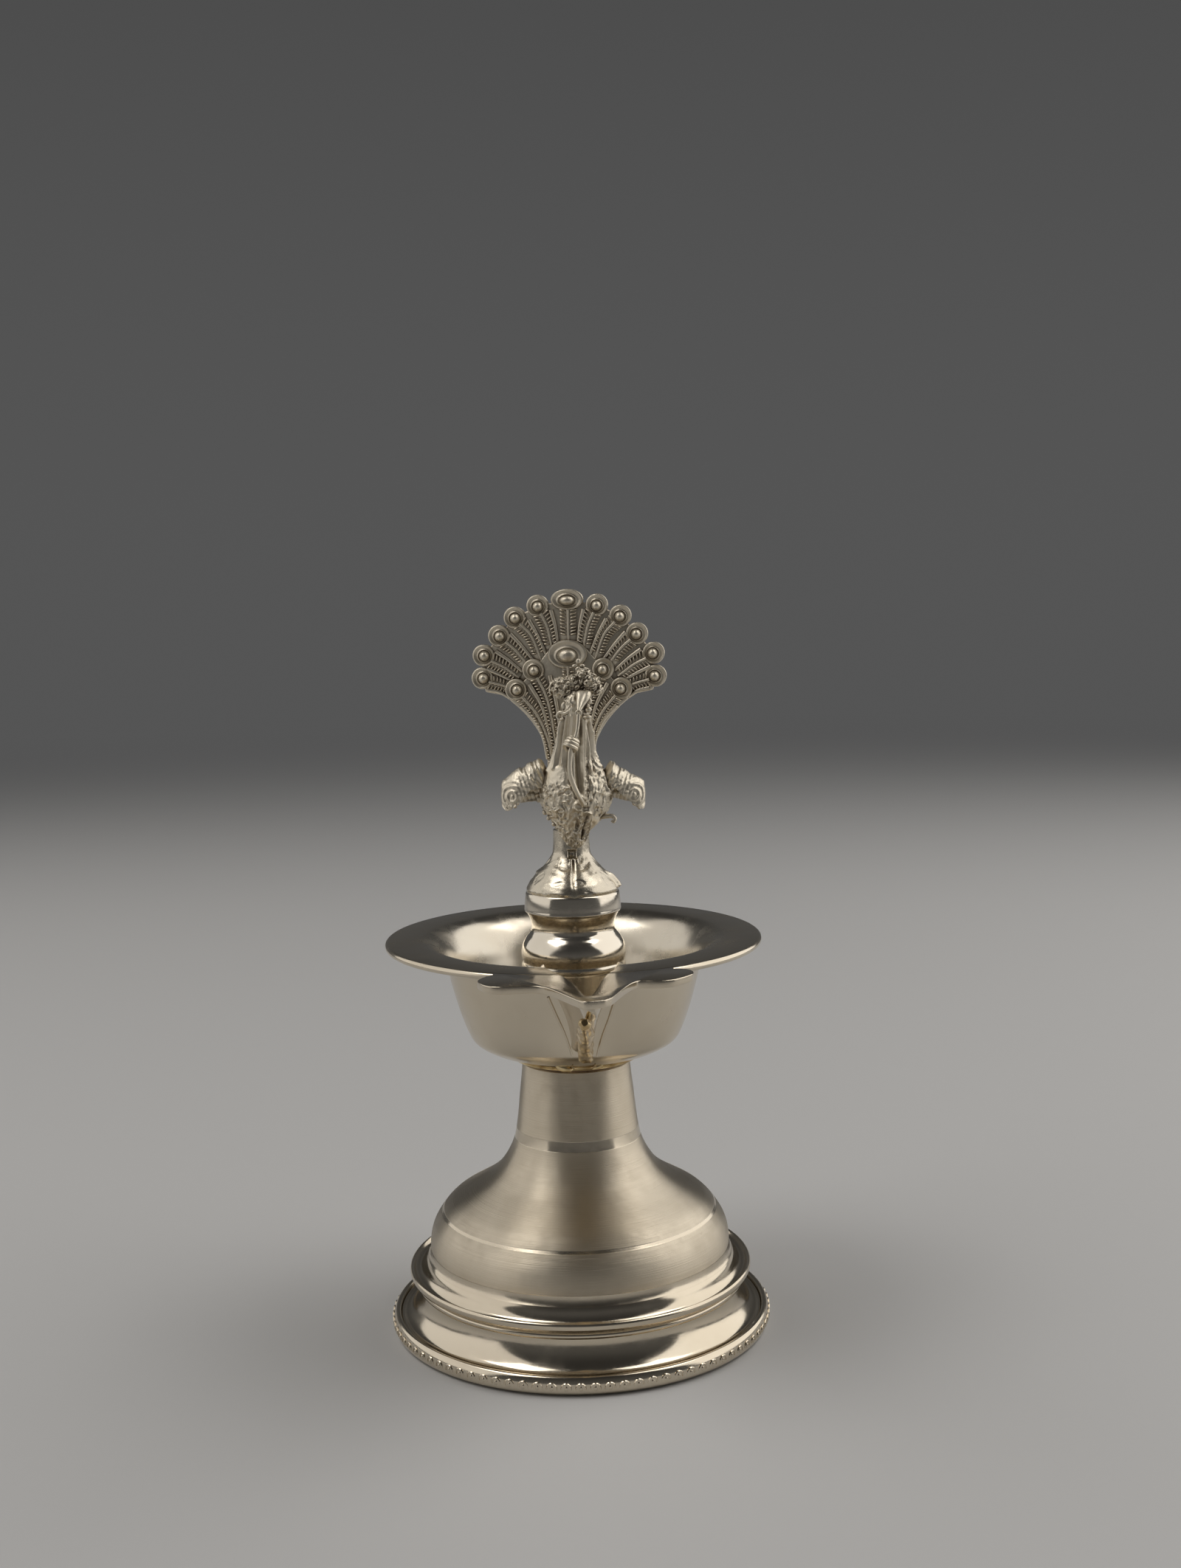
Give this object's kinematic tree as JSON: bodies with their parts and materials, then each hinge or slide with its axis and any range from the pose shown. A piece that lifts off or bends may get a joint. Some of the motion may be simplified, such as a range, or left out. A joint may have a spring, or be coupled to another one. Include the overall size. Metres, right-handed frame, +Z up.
{
  "type": "peacock oil lamp",
  "caption": "Standing oil lamp on a stepped round foot, with a spouted oil bowl that screws to the neck and a screw-in cast peacock finial with fanned tail.",
  "frame": {"origin": "centre of the foot's flat underside, on the lamp's axis", "axes": "+Z up along the lamp's axis; the spout and the peacock's breast face -Y; +X is the viewer's right"},
  "size_m": [0.072, 0.0905, 0.1384],
  "materials": {
    "polished_silver": "mirror polished, fine scratches",
    "brushed_silver": "brushed round the axis, satin",
    "cast_silver": "matte cast, darker in the recesses",
    "golden_solder": "lumpy golden hard solder",
    "screw_brass": "machined, unpolished",
    "washer_leather": "oiled leather"
  },
  "bodies": {
    "base": {"foot_tier": "polished_silver", "base_plate": "polished_silver", "gadroon_wire": "polished_silver", "bead_wire": "polished_silver", "middle_tier": "polished_silver", "dome_shell": "brushed_silver", "neck_cap": "screw_brass", "neck_nut": "screw_brass"},
    "seat_washer": {"seat_washer": "washer_leather"},
    "bowl": {"bowl_collar": "golden_solder", "neck_screw": "screw_brass", "bowl": "polished_silver", "spout_plate": "polished_silver", "spout_trough": "polished_silver", "keel_seam": "golden_solder", "finial_stud": "screw_brass"},
    "oil_washer": {"oil_washer": "washer_leather"},
    "finial": {"finial_nut": "screw_brass", "baluster": "polished_silver", "leaf_cone": "cast_silver", "peacock_body": "cast_silver", "peacock_crest": "cast_silver", "tail_fan": "cast_silver", "left_wing": "cast_silver", "right_wing": "cast_silver", "beak_strand": "cast_silver", "strand_knot": "cast_silver"}
  },
  "joints": [
    {"name": "seat_lift", "type": "slide", "parent": "base", "child": "seat_washer", "axis": [0, 0, 1], "range_m": [0, 0.0061]},
    {"name": "bowl_unscrew", "type": "hinge", "parent": "seat_washer", "child": "bowl", "pos_m": [0, 0, 0.0511], "axis": [0, 0, 1], "range_deg": [0, 2160]},
    {"name": "finial_lift", "type": "slide", "parent": "bowl", "child": "oil_washer", "axis": [0, 0, 1], "range_m": [0, 0.0061]},
    {"name": "finial_unscrew", "type": "hinge", "parent": "oil_washer", "child": "finial", "pos_m": [0, 0, 0.0537], "axis": [0, 0, 1], "range_deg": [0, 2160]}
  ],
  "couplings": [
    {"joint": "seat_lift", "follows": "bowl_unscrew", "m_per_rad": 0.00015915},
    {"joint": "finial_lift", "follows": "finial_unscrew", "m_per_rad": 0.00015915}
  ]
}
